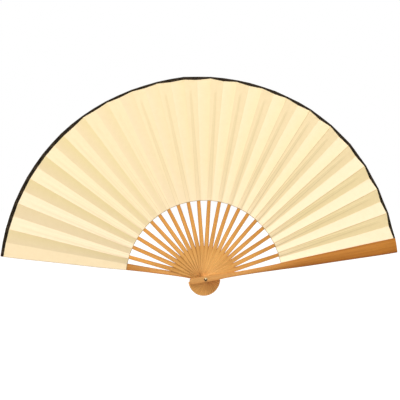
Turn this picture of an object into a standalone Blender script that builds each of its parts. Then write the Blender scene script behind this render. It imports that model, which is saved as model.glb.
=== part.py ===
"""A folding fan, wide open: twenty inner ribs and two guards on one rivet, with a pleated leaf.

Every piece is drawn flat in its own stick's frame: x runs from the rivet to the rim, y runs
clockwise across the stick as the front shows it, and z runs from the front to the back.
The piece is then turned about the rivet. Metres, +Z up, the front faces -Y.
"""

import bmesh
import bpy
from math import cos, radians, sin
from mathutils import Matrix

# The opened fan: stick 0 is the back guard, stick 21 the front guard
RIB_COUNT = 20
BACK_GUARD_ANGLE = radians(171.85)
FRONT_GUARD_ANGLE = radians(10.15)
LAST = RIB_COUNT + 1
STICK_STEP = (BACK_GUARD_ANGLE - FRONT_GUARD_ANGLE) / LAST
PANEL_ANGLE = STICK_STEP / 2

# The stack of sticks on the rivet
STACK_PITCH = 0.0009
RIB_THICK = 0.0006
RIB_THICK_IN_LEAF = 0.00035
GUARD_THICK = 0.0030
SLIP_GAP = 0.0003
REBATE_DEPTH = 0.0017
PANEL_SLOPE = 0.13

# The leaf
LEAF_INNER = 0.1197
LEAF_OUTER = 0.308
LEAF_THICK = 0.0003
POCKET_WALL = 0.00015
POCKET_SLACK = 0.0001
POCKET_EDGE = 0.0004
POCKET_BLEND = 0.0008
FOLD_GAP = 0.00015
GLUE_GAP = 0.0002
BINDING_WIDTH = 0.0042
BINDING_THICK = 0.0005
BINDING_STEP = 0.0001

# The ribs: half widths at distances from the rivet
RIB_BUTT = 0.0265
RIB_HEAD = 0.0046
RIB_AT_RIVET = 0.0045
RIB_NECK_AT = 0.0250
RIB_NECK = 0.0041
RIB_GAP_AT = 0.0505
RIB_GAP = 0.0033
RIB_LEAF = 0.0025
RIB_TIP = 0.0009
RIB_REACH_SHARE = 0.919
TWIST_START_SHARE = 0.5
TWIST_LEAD = 0.0090
THIN_LEAD = 0.0030
REBATE_LEAD = 0.0360

# The guards: half widths
GUARD_BUTT = 0.0244
GUARD_HEAD = 0.00515
GUARD_TIP = 0.0115
# Pairs of shares: of the leaf's outer radius along the guard, and of the tip's half width
GUARD_OUTLINE_SHARES = [
    (0.000, 0.411), (0.039, 0.394), (0.071, 0.335), (0.104, 0.292), (0.162, 0.288),
    (0.201, 0.305), (0.253, 0.326), (0.305, 0.364), (0.357, 0.411), (0.390, 0.445),
    (0.435, 0.513), (0.513, 0.614), (0.617, 0.703), (0.721, 0.788), (0.825, 0.886),
    (0.903, 0.958), (0.955, 0.992), (1.000, 1.000),
]

# Pairs of shares for a stick's rounded butt: of its reach past the rivet, and of its half width
BUTT_OUTLINE_SHARES = [(1.00, 0.62), (0.975, 0.82), (0.93, 0.95), (0.86, 1.00)]

# The rivet and its washers
PIN_RADIUS = 0.0015
HOLE_RADIUS = 0.00158
DOME_RADIUS = 0.0025
DOME_HEIGHT = 0.0013
WASHER_RADIUS = 0.00295
WASHER_THICK = 0.0004
WASHER_GAP = 0.0001
MERGE_DISTANCE = 0.00001
HOLE_SIDES = 24
ROUND_SIDES = 32
DOME_TURNS = [0, 22.5, 45, 67.5, 90]

# Distances from the rivet that follow the leaf
RIB_TIP_AT = LEAF_OUTER * RIB_REACH_SHARE
TWIST_START = LEAF_INNER * TWIST_START_SHARE
TWIST_END = LEAF_INNER - TWIST_LEAD
THIN_END = LEAF_INNER - THIN_LEAD
REBATE_START = LEAF_INNER - REBATE_LEAD

# Depths from the middle of the stack
OUTER_RIB = STACK_PITCH * (RIB_COUNT - 1) / 2
GUARD_INNER = OUTER_RIB + RIB_THICK / 2 + SLIP_GAP
GUARD_OUTER = GUARD_INNER + GUARD_THICK
REBATE_FLOOR = GUARD_INNER + REBATE_DEPTH
GUARD_LEAF = REBATE_FLOOR - GLUE_GAP - LEAF_THICK / 2
DOME_BASE = GUARD_OUTER + WASHER_THICK + 2 * WASHER_GAP
POCKET_THICK = RIB_THICK_IN_LEAF + POCKET_SLACK
POCKETED_THICK = POCKET_THICK + 2 * POCKET_WALL
POCKET_END = RIB_TIP_AT + POCKET_EDGE
SOLID_START = POCKET_END + POCKET_BLEND
EDGE_START = SOLID_START + 4 * POCKET_BLEND


def blend_between(table, x):
    if x <= table[0][0]:
        return table[0][1]
    for (x0, y0), (x1, y1) in zip(table, table[1:]):
        if x <= x1:
            return y0 + (y1 - y0) * (x - x0) / (x1 - x0)
    return table[-1][1]


def stick_matrix(i):
    """The frame of stick i: x outward, y clockwise, z to the back."""
    a = BACK_GUARD_ANGLE - STICK_STEP * i
    return Matrix(((cos(a), sin(a), 0, 0), (0, 0, 1, 0), (sin(a), -cos(a), 0, 0), (0, 0, 0, 1)))


def leaf_depth(i):
    """How deep the middle of stick i's own leaf panel lies."""
    if i == 0:
        return GUARD_LEAF
    if i == LAST:
        return -GUARD_LEAF
    return OUTER_RIB - STACK_PITCH * (i - 1)


def panel_slope(i):
    return 0 if i in (0, LAST) else PANEL_SLOPE


def rib_half(r):
    return blend_between(
        [(0, RIB_AT_RIVET), (RIB_NECK_AT, RIB_NECK), (RIB_GAP_AT, RIB_GAP),
         (LEAF_INNER, RIB_LEAF), (RIB_TIP_AT, RIB_TIP)], r)


def rib_slope(r):
    share = min(max((r - TWIST_START) / (TWIST_END - TWIST_START), 0), 1)
    return PANEL_SLOPE * share * share * (3 - 2 * share)


def make_material(name, colour, rough, metal):
    material = bpy.data.materials.new(name)
    material.use_nodes = True
    shader = material.node_tree.nodes["Principled BSDF"]
    shader.inputs["Base Color"].default_value = (*colour, 1)
    shader.inputs["Roughness"].default_value = rough
    shader.inputs["Metallic"].default_value = metal
    material.diffuse_color = (*colour, 1)
    return material


def add_object(name, mesh, home, matrix, material=None):
    obj = bpy.data.objects.new(name, mesh)
    home.objects.link(obj)
    obj.matrix_world = matrix
    if material:
        mesh.materials.append(material)
    return obj


def sheet_mesh(name, rows):
    """A grid whose rows and columns are moved to the given points."""
    bm = bmesh.new()
    bmesh.ops.create_grid(bm, x_segments=len(rows) - 1, y_segments=len(rows[0]) - 1, size=1)
    for v in bm.verts:
        row = round((v.co.x + 1) / 2 * (len(rows) - 1))
        column = round((v.co.y + 1) / 2 * (len(rows[0]) - 1))
        v.co = rows[row][column]
    mesh = bpy.data.meshes.new(name)
    bm.to_mesh(mesh)
    bm.free()
    return mesh


def add_sheet(name, rows, thicks, home, matrix, material=None):
    """A grid given its own thickness at each point."""
    obj = add_object(name, sheet_mesh(name, rows), home, matrix, material)
    most = max(max(t) for t in thicks)
    group = obj.vertex_groups.new(name="thickness")
    points = [(p, t) for row, ts in zip(rows, thicks) for p, t in zip(row, ts)]
    for v in obj.data.vertices:
        near = min(points, key=lambda pt: sum((a - b) ** 2 for a, b in zip(pt[0], v.co)))
        group.add([v.index], near[1] / most, "REPLACE")
    thicken = obj.modifiers.new("Thickness", "SOLIDIFY")
    thicken.thickness = most
    thicken.offset = 0
    thicken.vertex_group = group.name
    return obj


def cut(obj, cutter):
    step = obj.modifiers.new("Cut " + cutter.name, "BOOLEAN")
    step.operation = "DIFFERENCE"
    step.solver = "EXACT"
    step.object = cutter


def butt_rows(reach, half):
    return [(-reach * a, half * b) for a, b in BUTT_OUTLINE_SHARES]


def guard_rows():
    rows = butt_rows(GUARD_BUTT, GUARD_HEAD)
    return rows + [(LEAF_OUTER * a, GUARD_TIP * b) for a, b in GUARD_OUTLINE_SHARES]


def stick_rows(stations, depth, slope):
    return [[(r, -w, depth - slope(r) * w), (r, w, depth + slope(r) * w)] for r, w in stations]


def add_rib(i, home, material):
    stations = butt_rows(RIB_BUTT, RIB_HEAD)
    spots = [0, RIB_NECK_AT, RIB_GAP_AT, TWIST_START]
    spots += [TWIST_START + (TWIST_END - TWIST_START) * n / 4 for n in (1, 2, 3, 4)]
    spots += [THIN_END, RIB_TIP_AT]
    stations += [(r, rib_half(r)) for r in spots]
    thicks = [[RIB_THICK_IN_LEAF if r >= THIN_END else RIB_THICK] * 2 for r, _ in stations]
    rows = stick_rows(stations, leaf_depth(i), rib_slope)
    rib = add_sheet(f"rib_{i:02d}", rows, thicks, home, stick_matrix(i), material)
    cut(rib, bpy.data.objects["pivot_drill"])


def add_guard(name, i, home, tools, material):
    side = 1 if i == 0 else -1
    middle = side * (GUARD_INNER + GUARD_OUTER) / 2
    rows = stick_rows(guard_rows(), middle, lambda r: 0)
    guard = add_sheet(name, rows, [[GUARD_THICK] * 2] * len(rows), home, stick_matrix(i), material)
    cut(guard, bpy.data.objects["pivot_drill"])
    bm = bmesh.new()
    bmesh.ops.create_cube(bm, size=1)
    reach = LEAF_OUTER
    low, high = GUARD_INNER - REBATE_DEPTH, REBATE_FLOOR
    for v in bm.verts:
        v.co.x = REBATE_START + (v.co.x + 0.5) * reach
        v.co.y = v.co.y * 2 * LEAF_INNER
        v.co.z = side * (low + (v.co.z + 0.5) * (high - low))
    if side < 0:
        bmesh.ops.reverse_faces(bm, faces=bm.faces)
    mesh = bpy.data.meshes.new(name + "_rebate")
    bm.to_mesh(mesh)
    bm.free()
    cut(guard, add_object(name + "_rebate", mesh, tools, stick_matrix(i)))


def pocket_half(r):
    return rib_half(r) + POCKET_SLACK


def leaf_row(i, r, thick_pocket):
    """The points and thicknesses across panel i and the free panel after it, at radius r."""
    depth, slope = leaf_depth(i), panel_slope(i)
    base, edge = r * cos(PANEL_ANGLE / 2), r * sin(PANEL_ANGLE / 2)
    # the end panel reaches its guard's outer edge
    spots = [-blend_between(guard_rows(), base) if i == 0 else -edge, edge]
    thicks = [LEAF_THICK, LEAF_THICK]
    if slope:
        inner = pocket_half(r) + POCKET_EDGE
        outer = min(inner + POCKET_BLEND, (inner + edge) / 2)
        spots = [-edge, -outer, -inner, inner, outer, edge]
        thicks = [LEAF_THICK, LEAF_THICK, thick_pocket, thick_pocket, LEAF_THICK, LEAF_THICK]
    points = [(base, s, depth + slope * s) for s in spots]
    if i < LAST:
        turn = STICK_STEP
        x, y = base * cos(turn) + edge * sin(turn), base * sin(turn) - edge * cos(turn)
        z = leaf_depth(i + 1) - panel_slope(i + 1) * edge
        start = points[-1]
        span = ((x - start[0]) ** 2 + (y - start[1]) ** 2) ** 0.5
        share = 1 - FOLD_GAP / span
        points.append(tuple(a + (b - a) * share for a, b in zip(start, (x, y, z))))
        thicks.append(LEAF_THICK)
    return points, thicks


def add_pleat(i, home, tools, material):
    binding = LEAF_OUTER - BINDING_WIDTH
    plan = [
        (LEAF_INNER, POCKETED_THICK, None), (SOLID_START, POCKETED_THICK, None),
        (EDGE_START, LEAF_THICK, None), (binding, LEAF_THICK, None),
        (binding + BINDING_STEP, BINDING_THICK, BINDING_THICK),
        (LEAF_OUTER, BINDING_THICK, BINDING_THICK),
    ]
    if not panel_slope(i):
        plan = [p for p in plan if p[0] not in (SOLID_START, EDGE_START)]
    rows, thicks = [], []
    for r, pocket, whole in plan:
        points, across = leaf_row(i, r, pocket)
        rows.append(points)
        thicks.append([whole] * len(across) if whole else across)
    name = f"leaf_pleat_{i:02d}"
    pleat = add_sheet(name, rows, thicks, home, stick_matrix(i), material)
    if panel_slope(i):
        stations = [(REBATE_START, pocket_half(REBATE_START)), (POCKET_END, pocket_half(POCKET_END))]
        pocket = stick_rows(stations, leaf_depth(i), lambda r: PANEL_SLOPE)
        slot = [[POCKET_THICK] * 2] * 2
        cut(pleat, add_sheet(name + "_pocket", pocket, slot, tools, stick_matrix(i)))


def add_turned(name, profile, closed, home, material):
    """A profile of (radius, depth) points turned about the rivet's axis."""
    bm = bmesh.new()
    points = [bm.verts.new((radius, 0, depth)) for radius, depth in profile]
    for a, b in zip(points, points[1:] + points[:1] if closed else points[1:]):
        bm.edges.new((a, b))
    mesh = bpy.data.meshes.new(name)
    bm.to_mesh(mesh)
    bm.free()
    obj = add_object(name, mesh, home, stick_matrix(LAST), material)
    turn = obj.modifiers.new("Turn", "SCREW")
    turn.steps = turn.render_steps = ROUND_SIDES
    turn.use_merge_vertices = True
    turn.merge_threshold = MERGE_DISTANCE
    turn.use_smooth_shade = False
    return obj


def add_rivet(home, material):
    dome = [(DOME_RADIUS * sin(radians(t)), DOME_BASE + DOME_HEIGHT * cos(radians(t)))
            for t in DOME_TURNS]
    side = dome + [(PIN_RADIUS, DOME_BASE)]
    add_turned("rivet", side + [(r, -z) for r, z in reversed(side)], False, home, material)
    low, high = GUARD_OUTER + WASHER_GAP, GUARD_OUTER + WASHER_GAP + WASHER_THICK
    bore = PIN_RADIUS + WASHER_GAP
    for name, sign in (("washer_front", -1), ("washer_back", 1)):
        ring = [(bore, sign * low), (WASHER_RADIUS, sign * low),
                (WASHER_RADIUS, sign * high), (bore, sign * high)]
        add_turned(name, ring[::-sign], True, home, material)


def main():
    for obj in list(bpy.data.objects):
        bpy.data.objects.remove(obj, do_unlink=True)
    fan = bpy.data.collections.new("folding_fan")
    tools = bpy.data.collections.new("cutting_tools")
    for group in (fan, tools):
        bpy.context.scene.collection.children.link(group)

    bamboo = make_material("bamboo", (0.60, 0.30, 0.10), 0.45, 0)
    guard_wood = make_material("guard_bamboo", (0.50, 0.22, 0.06), 0.40, 0)
    paper = make_material("leaf_paper", (0.90, 0.80, 0.58), 0.80, 0)
    brass = make_material("rivet_brass", (0.62, 0.48, 0.26), 0.30, 1)

    bm = bmesh.new()
    bmesh.ops.create_cone(bm, cap_ends=True, segments=HOLE_SIDES, radius1=HOLE_RADIUS,
                          radius2=HOLE_RADIUS, depth=4 * GUARD_OUTER)
    drill = bpy.data.meshes.new("pivot_drill")
    bm.to_mesh(drill)
    bm.free()
    add_object("pivot_drill", drill, tools, stick_matrix(LAST))

    add_guard("guard_back", 0, fan, tools, guard_wood)
    add_guard("guard_front", LAST, fan, tools, guard_wood)
    for i in range(1, RIB_COUNT + 1):
        add_rib(i, fan, bamboo)
    for i in range(LAST + 1):
        add_pleat(i, fan, tools, paper)
    add_rivet(fan, brass)

    for obj in tools.objects:
        obj.hide_render = True
        obj.display_type = "WIRE"


main()
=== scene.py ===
import random
from math import cos, radians, sin
import bpy
from mathutils import Matrix, Vector


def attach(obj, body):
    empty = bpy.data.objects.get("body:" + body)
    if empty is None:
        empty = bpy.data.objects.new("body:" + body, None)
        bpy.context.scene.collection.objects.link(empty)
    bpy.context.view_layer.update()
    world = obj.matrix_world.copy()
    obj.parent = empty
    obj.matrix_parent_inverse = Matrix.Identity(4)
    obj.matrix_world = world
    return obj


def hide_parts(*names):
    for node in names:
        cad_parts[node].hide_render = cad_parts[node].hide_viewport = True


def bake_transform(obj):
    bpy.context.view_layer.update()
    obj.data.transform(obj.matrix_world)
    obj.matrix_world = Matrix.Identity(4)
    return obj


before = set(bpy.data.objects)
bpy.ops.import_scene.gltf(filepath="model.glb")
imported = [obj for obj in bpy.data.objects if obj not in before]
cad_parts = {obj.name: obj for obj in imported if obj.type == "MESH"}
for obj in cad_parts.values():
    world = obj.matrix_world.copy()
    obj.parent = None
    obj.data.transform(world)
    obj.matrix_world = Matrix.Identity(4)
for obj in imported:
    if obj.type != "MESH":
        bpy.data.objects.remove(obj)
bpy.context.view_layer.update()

dice = random.Random(21)
print("frame loaded")

# the open fan, in metres and degrees: stick 0 is the back guard, stick 21 the front guard
fan = {
    "sticks": 22, "firstAngle": 171.85, "lastAngle": 10.15,
    "pitch": 0.0009, "slope": 0.13,
    "slopeShares": [
        (4, 1), (5, 0.72), (6, 0.70), (7, 0.8), (9, 0.88), (11, 0.73), (13, 0.62), (15, 0.54),
        (17, 0.84), (18, 0.97)],
    "guardInner": 0.00915, "guardOuter": 0.01215,
    "rebateFloor": 0.01085, "guardLeaf": 0.0105,
}
lastStick = fan["sticks"] - 1
step = radians(fan["firstAngle"] - fan["lastAngle"]) / lastStick


def body(i):
    return "guard_back" if i == 0 else "guard_front" if i == lastStick else f"stick_{i:02d}"


def angleOf(i):
    return radians(fan["firstAngle"]) - step * i


def turned(a):
    # x runs outward along a stick, y clockwise across it, z to the back
    return Matrix(((cos(a), sin(a), 0, 0), (0, 0, 1, 0), (sin(a), -cos(a), 0, 0), (0, 0, 0, 1)))


def between(table, x):
    # a table holds (place, value) pairs, with straight lines from one to the next
    if x <= table[0][0]:
        return table[0][1]
    for (x0, y0), (x1, y1) in zip(table, table[1:]):
        if x <= x1:
            return y0 + (y1 - y0) * (x - x0) / (x1 - x0)
    return table[-1][1]


def shareOf(x, low, high):
    return min(max((x - low) / (high - low), 0), 1)


def panelDepth(i):
    if i in (0, lastStick):
        return fan["guardLeaf"] if i == 0 else -fan["guardLeaf"]
    return fan["pitch"] * (lastStick / 2 - i)


def panelSlope(i):
    return 0 if i in (0, lastStick) else fan["slope"] * between(fan["slopeShares"], i)


# camera
shot = {
    "turn": -8.494, "rise": 0.755, "roll": 0.810, "far": 1.3, "aim": (-0.00866, 0, 0.12051),
    "lens": 76.34, "sensor": 36, "nearest": 0.01, "farthest": 50,
}
turn, rise, roll = (radians(shot[k]) for k in ("turn", "rise", "roll"))
outward = Vector((sin(turn) * cos(rise), -cos(turn) * cos(rise), sin(rise)))
across = (-outward).cross(Vector((0, 0, 1))).normalized()
upward = across.cross(-outward)
right = across * cos(roll) + upward * sin(roll)
top = upward * cos(roll) - across * sin(roll)
bpy.ops.object.camera_add()
camera = bpy.context.object
camera.matrix_world = Matrix((
    *((right[n], top[n], outward[n], shot["aim"][n] + shot["far"] * outward[n]) for n in range(3)),
    (0, 0, 0, 1)))
camera.data.lens, camera.data.sensor_width = shot["lens"], shot["sensor"]
camera.data.clip_start, camera.data.clip_end = shot["nearest"], shot["farthest"]
bpy.context.scene.camera = camera


# nodes
def plug(tree, socket, value):
    # value: another node's output, or a number or colour
    if isinstance(value, bpy.types.NodeSocket):
        tree.links.new(value, socket)
    else:
        socket.default_value = value


def add(tree, kind, **settings):
    # settings: the new node's inputs, and its own choices
    node = tree.nodes.new("ShaderNode" + kind)
    for key, value in settings.items():
        if key in node.inputs:
            plug(tree, node.inputs[key], value)
        else:
            setattr(node, key, value)
    return node


def result(node):
    return [s for s in node.outputs if s.enabled][0]


def calc(tree, how, *values, kind="Math"):
    node = add(tree, kind, operation=how)
    for socket, value in zip(node.inputs, values):
        plug(tree, socket, value)
    return result(node)


def mixed(tree, how, share, first, second):
    node = add(tree, "Mix", data_type="RGBA", blend_type=how)
    for socket, value in zip([s for s in node.inputs if s.enabled], (share, first, second)):
        plug(tree, socket, value)
    return result(node)


def newFinish(name, rough, metal=0.0, gloss=0.5):
    finish = bpy.data.materials.new(name)
    finish.use_nodes = True
    shader = finish.node_tree.nodes["Principled BSDF"]
    shader.inputs["Roughness"].default_value = rough
    shader.inputs["Metallic"].default_value = metal
    shader.inputs["Specular IOR Level"].default_value = gloss
    return finish, finish.node_tree, shader


# light
light = {
    "key": {
        "from": (-1.14, -1.58, 3.85), "wide": 3.4, "watts": 232, "colour": (0.98, 0.99, 1.15)},
    "fill": {"from": (0.5, -3.6, 0.5), "wide": 3.0, "watts": 40, "colour": (1, 0.95, 0.78)},
    "back": {"from": (0.5, 3.4, 1.4), "wide": 3.0, "watts": 60, "colour": (1, 0.98, 0.94)},
    "aim": (0, 0, 0.12), "sky": 0.475, "skyColour": (1, 0.96, 0.72, 1), "white": (1, 1, 1, 1),
}


def addLamp(name, plan):
    bpy.ops.object.light_add(type="AREA", location=plan["from"])
    lamp = bpy.context.object
    lamp.name = name
    lamp.data.shape = "SQUARE"
    lamp.data.size, lamp.data.energy, lamp.data.color = plan["wide"], plan["watts"], plan["colour"]
    aim = Vector(light["aim"]) - lamp.location
    lamp.rotation_euler = aim.to_track_quat("-Z", "Y").to_euler()


addLamp("keyLamp", light["key"])
addLamp("fillLamp", light["fill"])
addLamp("backLamp", light["back"])


def seenApart(tree, share, lit, seen):
    # seen takes its share where the camera looks at it straight, in a mirror or through glass
    paths = add(tree, "LightPath").outputs
    looked = calc(tree, "MAXIMUM", paths["Is Camera Ray"], paths["Is Glossy Ray"])
    looked = calc(tree, "MAXIMUM", looked, paths["Is Transmission Ray"])
    node = add(tree, "MixShader", Fac=calc(tree, "MULTIPLY", looked, share))
    plug(tree, node.inputs[1], lit)
    plug(tree, node.inputs[2], seen)
    return node.outputs[0]


world = bpy.data.worlds.new("softSky")
bpy.context.scene.world = world
world.use_nodes = True
sky = world.node_tree
sky.nodes.clear()
dim = add(sky, "Background", Color=light["skyColour"], Strength=light["sky"])
white = add(sky, "Background", Color=light["white"], Strength=1)
add(sky, "OutputWorld", Surface=seenApart(sky, 1, dim.outputs[0], white.outputs[0]))

# floor
ground = {
    "height": -0.072, "wide": 12, "shadow": 0.4, "glow": 1.6, "colour": (0.3, 0.3, 0.3, 1),
}
bpy.ops.mesh.primitive_plane_add(size=ground["wide"], location=(0, 0, ground["height"]))
floor = bpy.context.object
floor.name = "floor"
paint, tree, shader = newFinish("paleFloor", 1, gloss=0)
shader.inputs["Base Color"].default_value = ground["colour"]
glow = add(tree, "Emission", Strength=ground["glow"])
plug(tree, tree.nodes["Material Output"].inputs["Surface"],
     seenApart(tree, 1 - ground["shadow"], shader.outputs[0], glow.outputs[0]))
floor.data.materials.append(paint)
bpy.context.scene.view_settings.view_transform = "Standard"
print("camera, light and floor ready")


# finishes
def shade(r, g, b):
    # a colour as seen on a screen, 0 to 255, turned into the light that it stands for
    levels = (((c / 255 + 0.055) / 1.055) ** 2.4 if c > 10 else c / 3295 for c in (r, g, b))
    return (*levels, 1)


def grey(level):
    return (level, level, level, 1)


def marked(tree, name):
    return add(tree, "Attribute", attribute_name=name).outputs["Fac"]


def stretched(tree, scale, **settings):
    # noise on the piece's own unrolled map, in metres, stretched by scale
    stretch = add(tree, "Mapping", Vector=add(tree, "TexCoord").outputs["UV"], Scale=(*scale, 1))
    noise = add(tree, "TexNoise", Vector=stretch.outputs["Vector"], Scale=1.0, **settings)
    return noise.outputs["Fac"]


def ramp(tree, source, *stops):
    node = add(tree, "ValToRGB", Fac=source)
    while len(node.color_ramp.elements) < len(stops):
        node.color_ramp.elements.new(0.5)
    for element, (place, colour) in zip(node.color_ramp.elements, stops):
        element.position, element.color = place, colour
    return node.outputs["Color"]


def tinted(tree, base, source, *stops):
    return mixed(tree, "MULTIPLY", 1.0, base, ramp(tree, source, *stops))


def bump(tree, shader, height, strength, distance):
    node = add(tree, "Bump", Height=height, Strength=strength, Distance=distance)
    plug(tree, shader.inputs["Normal"], node.outputs["Normal"])


bamboo = {
    "mapBehind": 0.035, "mapLong": 0.35,
    "fibre": (26, 3600), "streak": (7, 620), "patch": (12, 60), "pore": (160, 5200),
    "streakTone": (0.88, 0.82, 0.74, 1), "streakLight": (1.04, 1.04, 1.05, 1),
    "patchTone": (0.93, 0.90, 0.86, 1), "patchLight": (1.05, 1.05, 1.04, 1),
    # the last tone is painted shade on the guards' lower side
    "lowSideShade": (0.93, 0.85, 0.76, 1),
}


def bambooFinish(name, stops, rough, edgeColourAndShade):
    # stops: (place, colour), where 0 is 35 mm behind the rivet and 1 is 315 mm beyond it
    finish, tree, shader = newFinish(name, rough, gloss=0.22)
    split = add(tree, "SeparateXYZ", Vector=add(tree, "TexCoord").outputs["UV"])
    reach = calc(tree, "MULTIPLY_ADD", split.outputs["X"],
                 1 / bamboo["mapLong"], bamboo["mapBehind"] / bamboo["mapLong"])
    fibre = stretched(tree, bamboo["fibre"], Detail=3.0, Roughness=0.6)
    streak = stretched(tree, bamboo["streak"], Detail=2.0)
    patch = stretched(tree, bamboo["patch"], Detail=1.0)
    pore = stretched(tree, bamboo["pore"], Detail=0.0)
    edge, low = marked(tree, "edgeShare"), marked(tree, "lowShare")
    tint = ramp(tree, reach, *stops)
    tint = tinted(tree, tint, fibre, (0.32, grey(0.86)), (0.68, grey(1.05)))
    tint = tinted(tree, tint, streak, (0.34, bamboo["streakTone"]), (0.62, bamboo["streakLight"]))
    tint = tinted(tree, tint, patch, (0.3, bamboo["patchTone"]), (0.7, bamboo["patchLight"]))
    tint = tinted(tree, tint, pore, (0.22, grey(0.60)), (0.30, grey(1.0)))
    # painted shade: the edge tone darkens the edges; on the ribs it stands for the shadow lines
    # between stacked sticks, on the guards it darkens their edges a little
    tint = tinted(tree, tint, edge, (0.66, grey(1.0)), (0.97, edgeColourAndShade))
    # painted shade: the guards' lower side is darker, as the light falls from above
    tint = tinted(tree, tint, low, (0.0, grey(1.0)), (0.75, bamboo["lowSideShade"]))
    plug(tree, shader.inputs["Base Color"], tint)
    sheen = ramp(tree, fibre, (0.3, grey(rough - 0.07)), (0.7, grey(rough + 0.10)))
    plug(tree, shader.inputs["Roughness"], sheen)
    bump(tree, shader, fibre, strength=0.25, distance=0.00008)
    return finish


# painted light: the ribs' colour is lighter towards the butts, where the front guard shades them
ribFinish = bambooFinish("ribBamboo", (
    (0.04, shade(243, 181, 104)), (0.09, shade(236, 173, 97)), (0.115, shade(227, 172, 98)),
    (0.15, shade(231, 179, 105)), (0.24, shade(226, 168, 91)), (0.30, shade(230, 168, 87)),
    (0.45, shade(222, 156, 73))), rough=0.42, edgeColourAndShade=(0.63, 0.48, 0.34, 1))
guardFinish = bambooFinish("guardBamboo", (
    (0.10, shade(224, 167, 98)), (0.30, shade(224, 162, 90)), (0.40, shade(207, 144, 72)),
    (0.53, shade(192, 126, 50)), (1.0, shade(191, 124, 43))),
    rough=0.36, edgeColourAndShade=(0.78, 0.70, 0.60, 1))

paper = {
    "creaseShadeWide": 0.002, "edgeWide": 0.001,
    "panelShadeTint": (0.945, 0.965, 0.72, 1), "creaseShade": (0.74, 0.68, 0.56, 1),
    "ribEdgeShadeTone": (0.74, 0.68, 0.58, 1), "edgeColourAndShade": (0.42, 0.37, 0.30, 1),
    "ribShadeTint": (0.93, 0.927, 0.885, 1),
}


def paperFinish():
    # reads markPaper's and modelPly's marks: fromFold and fromInner are in metres
    finish, tree, shader = newFinish("leafPaper", 0.82, gloss=0.12)
    mottle = stretched(tree, (140, 140), Detail=5.0, Roughness=0.65)
    fleck = stretched(tree, (1500, 420), Detail=2.0)
    rib, ribEdgeShade, panelShade, fromFold, fromInner = (marked(tree, name) for name in (
        "ribShade", "ribEdgeShade", "panelShade", "fromFold", "fromInner"))
    crease = calc(tree, "MULTIPLY", fromFold, 1 / paper["creaseShadeWide"])
    edge = calc(tree, "MULTIPLY", fromInner, 1 / paper["edgeWide"])
    tint = ramp(tree, mottle, (0.3, shade(252, 229, 191)), (0.7, shade(255, 233, 197)))
    # painted shade: the panel shade mark tints the paper darker and yellower, most on the panels
    # turned away from the key lamp
    tint = mixed(tree, "MULTIPLY", panelShade, tint, paper["panelShadeTint"])
    tint = tinted(tree, tint, fleck, (0.3, grey(0.985)), (0.7, grey(1.0)))
    # painted shade: a thin dark line along each mountain fold
    tint = tinted(tree, tint, crease, (0.10, paper["creaseShade"]), (0.45, grey(1.0)))
    # painted shade: thin dark lines along both edges of each rib under the paper
    tint = tinted(tree, tint, ribEdgeShade, (0.66, grey(1.0)), (1.0, paper["ribEdgeShadeTone"]))
    # a thin dark line along the leaf's inner edge: the raw paper edge's colour, with painted shade
    # of the pocket where the ribs go in
    tint = tinted(tree, tint, edge, (0.5, paper["edgeColourAndShade"]), (1.0, grey(1.0)))
    # painted shade: the rib's shadow through the paper, along each glued rib
    tint = mixed(tree, "MULTIPLY", rib, tint, paper["ribShadeTint"])
    plug(tree, shader.inputs["Base Color"], tint)
    bump(tree, shader, mottle, strength=0.10, distance=0.0002)
    return finish


def bindingFinish():
    finish, tree, shader = newFinish("rimBinding", 0.62, gloss=0.08)
    weave = stretched(tree, (1900, 700), Detail=1.0)
    worn = stretched(tree, (200, 200), Detail=3.0)
    tint = ramp(tree, weave, (0.44, shade(18, 12, 6)), (0.70, shade(88, 74, 54)))
    tint = tinted(tree, tint, worn, (0.38, grey(0.30)), (0.62, grey(1.15)))
    plug(tree, shader.inputs["Base Color"], tint)
    bump(tree, shader, weave, strength=0.4, distance=0.0001)
    return finish


# footAt and footToTop are depths from the fan's middle; the painted highlight's centre is in units
# of 1 / its scale
brass = {
    "footAt": 0.012, "footToTop": 0.002, "headFrom": 0.35,
    "highlightScale": (333, 0, 333), "highlightAt": (-0.12, 0, 0.50),
    "washerTone": (0.60, 0.44, 0.29, 1), "gapTone": (0.06, 0.04, 0.02, 1),
    "footTone": (0.12, 0.07, 0.03, 1), "shoulderTone": (0.60, 0.48, 0.30, 1),
    "highlightRimTone": (0.34, 0.19, 0.07, 1), "paintedShadeTone": (0.03, 0.008, 0.001, 1),
}


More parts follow.
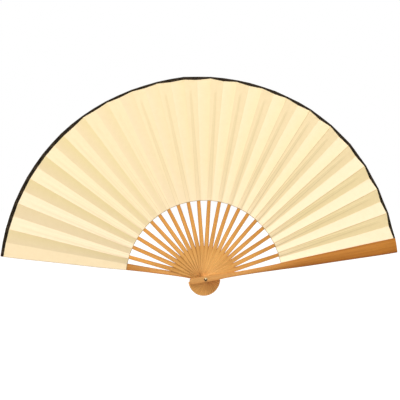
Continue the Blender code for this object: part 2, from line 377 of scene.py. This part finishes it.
def brassFinish():
    # light washers, heads dark at the foot, and one painted highlight on each head, the head
    # growing dark with painted shade away from it
    finish, tree, shader = newFinish("rivetBrass", 0.24, metal=1.0)
    place = add(tree, "TexCoord").outputs["Object"]
    worn = add(tree, "TexNoise", Vector=place, Scale=900.0, Detail=3.0).outputs["Fac"]
    depth = calc(tree, "ABSOLUTE", add(tree, "SeparateXYZ", Vector=place).outputs["Y"])
    height = calc(tree, "MULTIPLY_ADD", depth,
                  1 / brass["footToTop"], -brass["footAt"] / brass["footToTop"])
    away = calc(tree, "MULTIPLY", place, brass["highlightScale"], kind="VectorMath")
    away = calc(tree, "DISTANCE", away, brass["highlightAt"], kind="VectorMath")
    onHead = calc(tree, "GREATER_THAN", height, brass["headFrom"])
    tint = ramp(tree, worn, (0.35, shade(240, 222, 178)), (0.65, shade(255, 250, 228)))
    tint = tinted(tree, tint, height, (0.33, brass["washerTone"]), (0.38, brass["gapTone"]),
                  (0.66, brass["footTone"]), (0.82, brass["shoulderTone"]), (0.94, grey(1.0)))
    # painted highlight: a bright spot up and left on each head, with painted shade around it,
    # darkest on the lower side
    paintedHighlight = ramp(tree, away, (0.36, grey(1.0)), (0.50, brass["highlightRimTone"]),
                  (0.70, brass["paintedShadeTone"]))
    tint = mixed(tree, "MULTIPLY", onHead, tint, paintedHighlight)
    plug(tree, shader.inputs["Base Color"], tint)
    sheen = ramp(tree, worn, (0.3, grey(0.34)), (0.7, grey(0.18)))
    plug(tree, shader.inputs["Roughness"], sheen)
    bump(tree, shader, worn, strength=0.15, distance=0.0001)
    return finish


paperLook, bindingLook, brassLook = paperFinish(), bindingFinish(), brassFinish()
print("finishes ready")


# ways of working
def letGo():
    bpy.ops.object.select_all(action="DESELECT")


def pick(piece):
    letGo()
    piece.select_set(True)
    bpy.context.view_layer.objects.active = piece


def tidy(piece):
    pick(piece)
    bpy.ops.object.mode_set(mode="EDIT")
    bpy.ops.mesh.select_all(action="SELECT")
    bpy.ops.mesh.normals_make_consistent(inside=False)
    bpy.ops.object.mode_set(mode="OBJECT")


def addSheet(name, rows, columns):
    # a grid, with each point's own row and column
    letGo()
    bpy.ops.mesh.primitive_grid_add(x_subdivisions=rows - 1, y_subdivisions=columns - 1, size=1)
    piece = bpy.context.object
    piece.name = piece.data.name = name
    places = [(round((v.co.x + 0.5) * (rows - 1)), round((v.co.y + 0.5) * (columns - 1)))
              for v in piece.data.vertices]
    return piece, places


def applied(piece, kind, **settings):
    pick(piece)
    change = piece.modifiers.new(kind.title(), kind)
    for key, value in settings.items():
        setattr(change, key, value)
    bpy.ops.object.modifier_apply(modifier=change.name)


def rounded(piece, width, segments):
    applied(piece, "BEVEL", width=width, segments=segments, limit_method="ANGLE",
            angle_limit=radians(50))


def smoothed(piece, degrees):
    pick(piece)
    bpy.ops.object.shade_smooth_by_angle(angle=radians(degrees))


def mark(piece, name, values):
    # one number for each point, which a finish reads
    layer = piece.data.attributes.new(name, "FLOAT", "POINT")
    for item, value in zip(layer.data, values):
        item.value = value


def unroll(piece, shift=(0, 0), along="x"):
    # the map follows the piece: along it and across it, in metres
    layer = piece.data.uv_layers.active or piece.data.uv_layers.new(name="unrolled")
    for loop in piece.data.loops:
        x, y, z = piece.data.vertices[loop.vertex_index].co
        u, v = (x, y) if along == "x" else (y, x)
        layer.data[loop.index].uv = (u + shift[0], v + z + shift[1])


def settle(piece, turn):
    pick(piece)
    piece.matrix_world = turn
    bpy.ops.object.transform_apply(location=True, rotation=True, scale=True)


def placeStick(piece, i, depth=0):
    settle(piece, turned(angleOf(i)) @ Matrix.Translation((0, 0, depth)))


def drilled(piece, radius, reach):
    letGo()
    bpy.ops.mesh.primitive_cylinder_add(vertices=32, radius=radius, depth=reach)
    drill = bpy.context.object
    applied(piece, "BOOLEAN", object=drill, operation="DIFFERENCE", solver="EXACT")
    bpy.data.objects.remove(drill)


def dress(piece, finish):
    piece.data.materials.clear()
    piece.data.materials.append(finish)


def finishPiece(piece, i, finish, slotName, *nodes):
    dress(piece, finish)
    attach(piece, body(i))
    if nodes:
        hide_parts(*nodes)


# ribs
rib = {
    "butt": 0.0265, "head": 0.0046, "tip": 0.28305, "hole": 0.00158, "drill": 0.01, "edge": 0.00016,
    "halfWidths": [
        (0, 0.0045), (0.025, 0.0041), (0.0505, 0.0033), (0.1197, 0.0028), (0.28305, 0.0009)],
    "thick": 0.00086, "neck": 0.0006, "thickInLeaf": 0.00035,
    "neckFrom": 0.045, "neckFull": 0.058, "thinFrom": 0.1167,
    "twistFrom": 0.05985, "twistTo": 0.1107, "set": -0.0055,
    # the head and hub fades weaken the painted edge shade, near the head for some sticks and near
    # the hub for the first sticks, where the stack's own shade is deep
    "edgeShadeFade": [(1, 0.86), (3, 1), (8, 1), (12, 0.76)], "headTo": 0.05,
    "hubShadeFade": 0.8, "hubRibs": 8, "hubFrom": -0.001, "hubTo": 0.02,
    "grainSlide": 0.004, "grainApart": 0.05,
}
buttShares = [
    (1.00, 0.50), (0.992, 0.66), (0.975, 0.80), (0.945, 0.91), (0.905, 0.975), (0.85, 1.00)]


def ribTwist(r):
    t = shareOf(r, rib["twistFrom"], rib["twistTo"])
    return fan["slope"] * t * t * (3 - 2 * t)


def ribThick(r):
    if r >= rib["thinFrom"]:
        return rib["thickInLeaf"]
    return between([(rib["neckFrom"], rib["thick"]), (rib["neckFull"], rib["neck"])], r)


def modelRib():
    stations = [(-rib["butt"] * a, rib["head"] * b) for a, b in buttShares]
    spots = [0, 0.0125, 0.025, 0.038, 0.0505, 0.06, 0.07, 0.08, 0.09, 0.1, 0.11, rib["thinFrom"],
             0.12, 0.16, 0.2, 0.24, 0.27, rib["tip"]]
    stations += [(r, between(rib["halfWidths"], r)) for r in spots]
    piece, places = addSheet("rib", len(stations), 3)
    weights = piece.vertex_groups.new(name="thickness")
    for v, (row, column) in zip(piece.data.vertices, places):
        r, half = stations[row]
        side = (column - 1) * half
        v.co = (r, side, ribTwist(r) * side)
        weights.add([v.index], ribThick(r) / rib["thick"], "REPLACE")
    mark(piece, "edgeShare", [abs(column - 1) for row, column in places])
    applied(piece, "SOLIDIFY", thickness=rib["thick"], offset=0, vertex_group="thickness")
    drilled(piece, rib["hole"], rib["drill"])
    rounded(piece, rib["edge"], segments=1)
    return piece


master = modelRib()
for i in range(1, lastStick):
    piece = master.copy()
    piece.data = master.data.copy()
    bpy.context.collection.objects.link(piece)
    piece.name = piece.data.name = f"ribStick{i:02d}"
    unroll(piece, (dice.uniform(0, rib["grainSlide"]), rib["grainApart"] * i))
    share = panelSlope(i) / fan["slope"]
    for v in piece.data.vertices:
        flat = v.co.y
        v.co.y += rib["set"] * v.co.x
        v.co.z += ribTwist(v.co.x) * (share * v.co.y - flat)
    # less painted edge shade near the head and the hub
    for v, item in zip(piece.data.vertices, piece.data.attributes["edgeShare"].data):
        if v.co.x < rib["headTo"]:
            item.value *= between(rib["edgeShadeFade"], i)
        if i < rib["hubRibs"] and rib["hubFrom"] < v.co.x < rib["hubTo"]:
            item.value *= rib["hubShadeFade"]
    placeStick(piece, i, panelDepth(i))
    finishPiece(piece, i, ribFinish, "rib_bamboo", f"rib_{i:02d}")
bpy.data.objects.remove(master)
print("ribs ready")


# guards
guard = {
    "butt": 0.0244, "head": 0.00515, "tip": 0.0115, "length": 0.308, "crown": 0.001,
    "lean": [(0, 0), (0.04, 0.0003), (0.11, 0.0011)],
    "crownFrom": 0.03, "crownFull": 0.13, "rebateFrom": 0.0837,
    "hole": 0.00158, "drill": 0.06, "edge": 0.0003, "columns": 9,
    "grainAt": 1.7, "grainApart": 0.4,
    "outlineShares": [
        (0.000, 0.411), (0.039, 0.394), (0.071, 0.335), (0.104, 0.292), (0.162, 0.288),
        (0.201, 0.305), (0.253, 0.326), (0.2716, 0.340), (0.2722, 0.341), (0.305, 0.364),
        (0.357, 0.411), (0.390, 0.445), (0.435, 0.513), (0.513, 0.614), (0.617, 0.703),
        (0.721, 0.788), (0.825, 0.886), (0.903, 0.958), (0.955, 0.992), (1.000, 1.000)],
}


def guardStations():
    return [(-guard["butt"] * a, guard["head"] * b) for a, b in buttShares] + [
        (guard["length"] * a, guard["tip"] * b) for a, b in guard["outlineShares"]]


def modelGuard(name, i):
    side = 1 if i == 0 else -1
    stations = guardStations()
    piece, places = addSheet(name, len(stations), guard["columns"])
    shares = [2 * column / (guard["columns"] - 1) - 1 for row, column in places]
    for v, share, (row, column) in zip(piece.data.vertices, shares, places):
        r, half = stations[row]
        crown = guard["crown"] * shareOf(r, guard["crownFrom"], guard["crownFull"])
        lean = between(guard["lean"], r) if i else 0
        v.co = (r, share * half + lean, side * (fan["guardOuter"] - crown * share * share))
    mark(piece, "edgeShare", [abs(share) for share in shares])
    # lowShare grows towards the guard's lower side, which the finish darkens with painted shade
    mark(piece, "lowShare", [-side * share for share in shares])
    pick(piece)
    bpy.ops.object.mode_set(mode="EDIT")
    bpy.ops.mesh.select_all(action="SELECT")
    bpy.ops.mesh.extrude_region_move()
    bpy.ops.object.mode_set(mode="OBJECT")
    for v in piece.data.vertices:
        if v.select:
            v.co.z = side * fan["guardInner" if v.co.x < guard["rebateFrom"] else "rebateFloor"]
    tidy(piece)
    drilled(piece, guard["hole"], guard["drill"])
    rounded(piece, guard["edge"], segments=2)
    unroll(piece, (0, guard["grainAt"] + guard["grainApart"] * side))
    placeStick(piece, i)
    smoothed(piece, 28)
    return piece


for name, i in (("guardBack", 0), ("guardFront", lastStick)):
    finishPiece(modelGuard(name, i), i, guardFinish, "guard_bamboo", body(i))
print("guards ready")


# leaf: the tables run over the sticks, and growth also over the folds between them
leaf = {
    "inner": 0.1197, "outer": 0.308, "ply": 0.0001, "guardShows": 0.0004,
    "rows": [
        0.1197, 0.1203, 0.135, 0.155, 0.18, 0.205, 0.23, 0.255, 0.275, 0.2835, 0.292, 0.3, 0.308],
    "gluedColumns": 11, "flatColumns": 3, "ribColumns": (4, 5, 6), "ribSides": (4, 6),
    "ribRoom": 0.00002, "ribMargin": 0.00015, "fade": 0.0016, "fadeEnd": 0.96, "liftTo": 0.284,
    # the crease fade makes each stick's painted crease shade fainter
    "creaseShadeFade": [(1, 0.0004), (4, 0.0005), (6, 0.0009), (12, 0.0009), (15, 0.0002), (17, 0)],
    # per stick: how deep the painted rib shadow and the painted lines along the rib are
    "ribShadeDepth": [(7, 0.12), (8, 1), (16, 1), (18, 0.6)],
    "ribShadeStart": [(7, 0), (8, 0.45), (13, 0.45), (16, 0)], "ribShadeLong": 0.08,
    "ribEdgeShadeDepth": [(7, 0.9), (8, 0.86), (13, 0.86), (15, 1)],
    "ribEdgeShadeLong": 0.9, "ribEdgeShadeLeast": 0.8,
    # how much painted panel shade each stick's panels get, and how it grows from the inner edge
    "panelShadeMiddle": 0.6, "panelShadeFall": 0.3, "panelShadeStart": [(5, 0.8), (8, 0.4)], "panelShadeLong": 0.1,
    "stickPanelShade": [(0, 0.4), (1, 0), (2, 0), (4, 0.4), (7, 0.55), (15, 0.6), (17, 0.75), (18, 1)],
    "freePanelShade": [
        (0, 0.8), (1, 0.55), (2, 0.95), (4, 1), (5, 0.85), (7, 0.5), (9, 0.6), (15, 0.5), (17, 0.1),
        (19, 0)],
    "mapApart": 0.041, "mapFree": 0.02, "bendShare": 0.8,
    "growthFrom": 0.2835, "growth": [
        (0, 0.0009), (1.5, 0.0007), (3, 0.001), (5, 0.0014), (6, 0.0009), (7.25, 0.0004),
        (8.5, 0.0005), (9.25, 0.0014), (9.75, 0.0019), (10.25, 0.0013), (11.25, 0.0011),
        (11.75, 0.0007), (12.25, 0.0011), (12.75, 0.0006), (13.25, 0.0014), (13.75, 0.0008),
        (14.25, 0.0018), (15.25, 0.0019), (16.75, 0.0019), (17.25, 0.0014), (18, 0.0006),
        (19, -0.0002), (20, -0.0003), (21, 0.0004)],
}
halfPanel = step / 4


def foldAt(i, side, r):
    # a fold beside stick i, in the stick's own frame: side -1 is its mountain, 1 its valley
    r += between(leaf["growth"], i + side / 4) * shareOf(r, leaf["growthFrom"], leaf["outer"])
    x, y = r * cos(halfPanel), side * r * sin(halfPanel)
    if i == 0 and side < 0:
        y = leaf["guardShows"] - between(guardStations(), x)
    return Vector((x, y, panelDepth(i) + panelSlope(i) * y))


def rising(start, r, long):
    # from start at the leaf's inner edge up to 1
    return min(1, start + (r - leaf["inner"]) / long)


def markPaper(piece, rows, halves, sides, stick, panelShade, fall=0):
    # sides: -1 at the mountain fold of that stick, 1 at the valley fold
    # the crease fade is added to fromFold, and makes the painted crease shade fainter
    crease, start = between(leaf["creaseShadeFade"], stick), between(leaf["panelShadeStart"], stick)
    mark(piece, "fromFold", [(1 + side) * half + crease for side, half in zip(sides, halves)])
    mark(piece, "fromInner", [r - leaf["inner"] for r in rows])
    # painted panel shade, set per stick: weaker near the leaf's inner edge and, on free panels,
    # stronger towards the mountain fold
    mark(piece, "panelShade", [
        panelShade * (leaf["panelShadeMiddle"] - fall * side) * rising(start, r, leaf["panelShadeLong"])
        for r, side in zip(rows, sides)])


def gluedShare(column, middle, top, fade):
    # where a column lies across a glued panel, from -1 to 1: three columns are on the rib itself
    low = max(middle - top - fade, -leaf["fadeEnd"])
    high = min(middle + top + fade, leaf["fadeEnd"])
    return [-1, (low - 2) / 3, (2 * low - 1) / 3, low, middle - top, middle, middle + top, high,
            (1 + 2 * high) / 3, (2 + high) / 3, 1][column]


def modelPly(i, name, side):
    # one ply of the panel on stick i, pressed over its rib where there is one
    glued = panelSlope(i) != 0
    columns = leaf["gluedColumns" if glued else "flatColumns"]
    piece, places = addSheet(name, len(leaf["rows"]), columns)
    darkness, start, edges = (between(leaf[k], i) for k in ("ribShadeDepth", "ribShadeStart", "ribEdgeShadeDepth"))
    sides, halves, shown, lines = [], [], [], []
    for v, (row, column) in zip(piece.data.vertices, places):
        r = leaf["rows"][row]
        a, b = foldAt(i, -1, r), foldAt(i, 1, r)
        half = (b - a).length / 2
        share = 2 * column / (columns - 1) - 1
        lift = dark = line = 0
        if glued:
            top = between(rib["halfWidths"], r) + leaf["ribMargin"]
            share = gluedShare(column, rib["set"] * r / half, top / half, leaf["fade"] / half)
            # over the rib the ply is lifted, and the rib's shadow through the paper is painted in
            if column in leaf["ribColumns"] and r < leaf["liftTo"]:
                lift = rib["thickInLeaf"] / 2 + leaf["ribRoom"]
                dark = darkness * rising(start, r, leaf["ribShadeLong"])
            # painted shade lines at the rib's edges, strongest at the leaf's inner edge
            if column in leaf["ribSides"]:
                line = edges * max(
                    1 - (r - leaf["inner"]) / leaf["ribEdgeShadeLong"], leaf["ribEdgeShadeLeast"])
        v.co = a.lerp(b, (share + 1) / 2) + Vector((0, 0, side * (leaf["ply"] / 2 + lift)))
        sides.append(share)
        halves.append(half)
        shown.append(dark)
        lines.append(line)
    mark(piece, "ribShade", shown)
    mark(piece, "ribEdgeShade", lines)
    markPaper(piece, [leaf["rows"][row] for row, column in places], halves, sides, i,
              between(leaf["stickPanelShade"], i))
    applied(piece, "SOLIDIFY", thickness=leaf["ply"], offset=0)
    tidy(piece)
    return piece


for i in range(fan["sticks"]):
    front, back = modelPly(i, f"leafPanel{i:02d}", -1), modelPly(i, "ply", 1)
    pick(front)
    back.select_set(True)
    bpy.ops.object.join()
    unroll(front, (0, leaf["mapApart"] * i))
    placeStick(front, i)
    smoothed(front, 20)
    finishPiece(front, i, paperLook, "leaf_paper", f"leaf_pleat_{i:02d}")
print("stick panels ready")


def spread(i, point, back):
    # a point of stick i's frame, seen in the frame halfway between sticks back and back + 1
    a = angleOf(i) - (angleOf(back) - step / 2)
    x, y, z = point
    return Vector((x * cos(a) + y * sin(a), y * cos(a) - x * sin(a), z))


def crossJoint(piece, i):
    # turns a piece that runs from stick i to stick i + 1, with every point on one of the two, into
    # place halfway between them
    a = angleOf(i) - step / 2
    settle(piece, turned(a))
    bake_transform(piece)


for i in range(lastStick):
    piece, places = addSheet(f"leafFree{i:02d}", len(leaf["rows"]), 2)
    rows = [leaf["rows"][row] for row, column in places]
    sides = [1 - 2 * column for row, column in places]
    halves = []
    for v, r, side in zip(piece.data.vertices, rows, sides):
        a, b = spread(i, foldAt(i, 1, r), i), spread(i + 1, foldAt(i + 1, -1, r), i)
        v.co = a if side > 0 else b
        halves.append((b - a).length / 2)
    markPaper(piece, rows, halves, sides, i + 1, between(leaf["freePanelShade"], i), leaf["panelShadeFall"])
    applied(piece, "SOLIDIFY", thickness=2 * leaf["ply"], offset=0)
    tidy(piece)
    unroll(piece, (0, leaf["mapApart"] * i + leaf["mapFree"]))
    dress(piece, paperLook)
    crossJoint(piece, i)
print("free panels ready")

# binding: mountain and valley say how wide it is at the folds
binding = {
    "half": 0.00022,
    "mountain": [
        (0, 0.0042), (1, 0.0050), (5, 0.0051), (6, 0.0027), (9, 0.0027), (10, 0.0041), (11, 0.0026),
        (16, 0.0028), (17, 0.0042), (18, 0.0028)],
    "valley": [(0, 0.0046), (1, 0.0053), (5, 0.0050), (6, 0.0038), (8, 0.0040), (9, 0.0047)],
    "section": [(-1, -1), (-0.3, -1), (0, -0.9), (0.05, 0), (0, 0.9), (-0.3, 1), (-1, 1)],
}


def modelBinding(name, i, ends):
    # ends: stick and side of the two folds that this length of binding runs between
    # at each fold it lies along the fold's last stretch, from the third last row to the rim
    letGo()
    count = len(binding["section"])
    bpy.ops.mesh.primitive_cylinder_add(vertices=count, radius=1, depth=2)
    piece = bpy.context.object
    piece.name = piece.data.name = name
    for v in piece.data.vertices:
        stick, side = ends[0] if v.co.z < 0 else ends[1]
        along, thick = binding["section"][(v.index // 2) % count]
        inside, rim = foldAt(stick, side, leaf["rows"][-3]), foldAt(stick, side, leaf["outer"])
        wide = between(binding["valley" if side > 0 else "mountain"], stick)
        spot = rim + (rim - inside).normalized() * along * wide
        spot += Vector((0, 0, thick * binding["half"]))
        v.co = spot if ends[0][0] == ends[1][0] else spread(stick, spot, i)
    tidy(piece)
    unroll(piece, along="y")
    dress(piece, bindingLook)
    return piece


for i in range(fan["sticks"]):
    piece = modelBinding(f"binding{i:02d}", i, ((i, -1), (i, 1)))
    placeStick(piece, i)
    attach(piece, body(i))
    if i < lastStick:
        crossJoint(modelBinding(f"bindingFree{i:02d}", i, ((i, 1), (i + 1, -1))), i)
print("binding ready")

# rivet
rivet = {
    "pin": 0.0015, "base": 0.01275, "slack": 0.0001,
    "dome": 0.0025, "height": 0.0013, "foot": 0.00015, "turns": (0, 14, 28, 42, 56, 70, 82),
    "washer": 0.00295, "washerFrom": 0.01225, "washerThick": 0.0004, "washerEdge": 0.00009,
    "washerRoom": 0.0001, "drill": 0.06,
}


def stepOut(side, steps):
    # each step extrudes what is picked, moves it by a rise and resizes it by a share
    for move, size in steps:
        bpy.ops.mesh.extrude_region_move(TRANSFORM_OT_translate={"value": (0, 0, side * move)})
        bpy.ops.transform.resize(value=(size, size, 1), center_override=(0, 0, 0))


turns = [radians(t) for t in rivet["turns"]]
sizes = [rivet["dome"] * cos(t) for t in turns]
rises = [rivet["height"] * sin(t) for t in turns]
steps = [(0, rivet["dome"] / rivet["pin"]), (rivet["foot"], 1)]
steps += [(rises[n] - rises[n - 1], sizes[n] / sizes[n - 1]) for n in range(1, len(turns))]
letGo()
bpy.ops.mesh.primitive_cylinder_add(vertices=48, radius=rivet["pin"], depth=2 * rivet["base"])
head = bpy.context.object
head.name = head.data.name = "rivetPin"
for side in (-1, 1):
    pick(head)
    for face in head.data.polygons:
        outer = side * face.center.z > rivet["base"] - rivet["slack"]
        face.select = outer and side * face.normal.z > 0.9
    bpy.ops.object.mode_set(mode="EDIT")
    bpy.ops.mesh.select_mode(type="FACE")
    stepOut(side, steps)
    bpy.ops.object.mode_set(mode="OBJECT")
tidy(head)
placeStick(head, lastStick)
smoothed(head, 35)
finishPiece(head, lastStick, brassLook, "rivet_brass", "rivet")

for name, side, node in (("washerFront", -1, "washer_front"), ("washerBack", 1, "washer_back")):
    letGo()
    bpy.ops.mesh.primitive_cylinder_add(
        vertices=48, radius=rivet["washer"], depth=rivet["washerThick"],
        location=(0, 0, side * (rivet["washerFrom"] + rivet["washerThick"] / 2)))
    washer = bpy.context.object
    washer.name = washer.data.name = name
    bpy.ops.object.transform_apply(location=True, rotation=True, scale=True)
    drilled(washer, rivet["pin"] + rivet["washerRoom"], rivet["drill"])
    rounded(washer, rivet["washerEdge"], segments=2)
    placeStick(washer, lastStick)
    smoothed(washer, 35)
    finishPiece(washer, lastStick, brassLook, "rivet_brass", node)
print("rivet ready")
